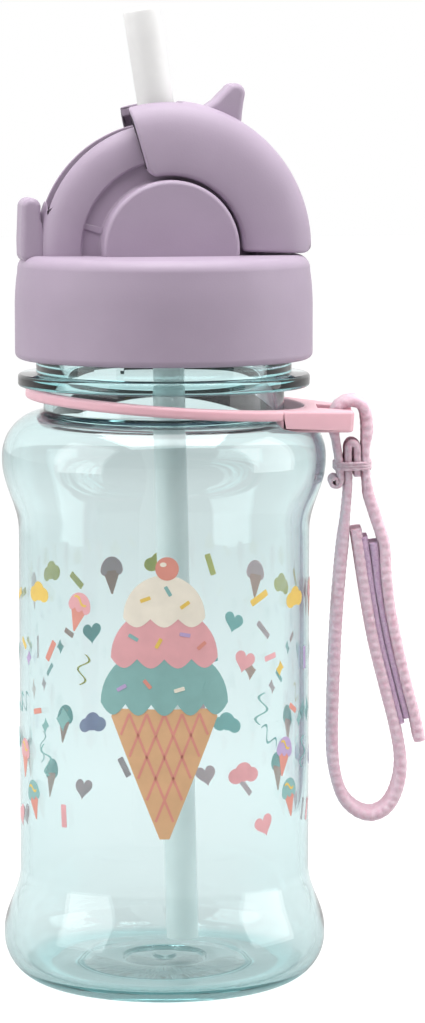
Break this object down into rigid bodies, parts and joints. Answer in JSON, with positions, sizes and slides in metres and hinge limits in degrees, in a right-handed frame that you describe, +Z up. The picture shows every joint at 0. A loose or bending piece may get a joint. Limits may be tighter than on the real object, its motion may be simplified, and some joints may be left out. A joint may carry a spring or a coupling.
{
  "type": "kids straw water bottle",
  "caption": "Kids' clear water bottle with a screw lid, a swinging cover that folds the soft straw away, a carry ring and a webbing wrist strap.",
  "frame": {"origin": "centre of the flat underside, on the bottle's axis", "axes": "+Z up along the bottle's axis; X along the lid's arch, with the catch tab at -X"},
  "size_m": [0.0925, 0.0712, 0.2146],
  "materials": {
    "clear_body": "clear tinted copolyester, polished",
    "lid_plastic": "moulded polypropylene, fine matte",
    "cover_plastic": "moulded polypropylene, fine matte",
    "clear_silicone": "translucent white silicone",
    "straw_plastic": "translucent polyethylene tube",
    "ring_silicone": "soft pink silicone",
    "webbing": "soft knitted webbing",
    "thread": "sewing thread",
    "hook_tape": "hook-and-loop tape"
  },
  "bodies": {
    "bottle": {"bottle_body": "clear_body"},
    "lid_lifter": {"lid_seal": "clear_silicone"},
    "lid": {"lid_shell": "lid_plastic", "air_valve": "clear_silicone", "mouthpiece_root": "clear_silicone", "lower_straw": "straw_plastic"},
    "cover": {"slide_cover": "cover_plastic"},
    "straw_mid": {"mouthpiece_mid": "clear_silicone"},
    "straw_tip": {"mouthpiece_tip": "clear_silicone"},
    "ring": {"carry_ring": "ring_silicone"},
    "strap": {"strap_eye": "webbing", "strap_loop": "webbing", "strap_tie": "thread", "hook_pad": "hook_tape"},
    "flap": {"strap_tail": "webbing", "loop_pad": "hook_tape"}
  },
  "joints": [
    {"name": "lid_lift", "type": "slide", "parent": "bottle", "child": "lid_lifter", "axis": [0, 0, 1], "range_m": [0, 0.15]},
    {"name": "lid_turn", "type": "hinge", "parent": "lid_lifter", "child": "lid", "pos_m": [0, 0, 0.145], "axis": [0, 0, 1], "range_deg": [0, 3600]},
    {"name": "cover_swing", "type": "hinge", "parent": "lid", "child": "cover", "pos_m": [0, 0, 0.162], "axis": [0, -1, 0], "range_deg": [0, 68], "deforming": ["mouthpiece_mid", "mouthpiece_tip"]},
    {"name": "straw_bend", "type": "hinge", "parent": "lid", "child": "straw_mid", "pos_m": [0.001, 0, 0.176], "axis": [0, -1, 0], "range_deg": [0, 51.1]},
    {"name": "straw_curl", "type": "hinge", "parent": "straw_mid", "child": "straw_tip", "pos_m": [-0.00144, 0, 0.19141], "axis": [0, -1, 0], "range_deg": [0, 98.1]},
    {"name": "ring_swivel", "type": "hinge", "parent": "bottle", "child": "ring", "pos_m": [0, 0, 0.1284], "axis": [0, 0, 1], "continuous": true},
    {"name": "strap_swing", "type": "hinge", "parent": "ring", "child": "strap", "pos_m": [0.0403, -0.00638, 0.12405], "axis": [-0.1564, -0.9877, 0], "range_deg": [0, 140]},
    {"name": "strap_flap", "type": "hinge", "parent": "strap", "child": "flap", "pos_m": [0.04405, -0.00698, 0.108], "axis": [-0.1564, -0.9877, 0], "range_deg": [0, 40]}
  ],
  "couplings": [
    {"joint": "lid_turn", "follows": "lid_lift", "rad_per_m": 418.87},
    {"joint": "straw_bend", "follows": "cover_swing", "ratio": 0.75},
    {"joint": "straw_curl", "follows": "cover_swing", "ratio": 1.4412}
  ]
}
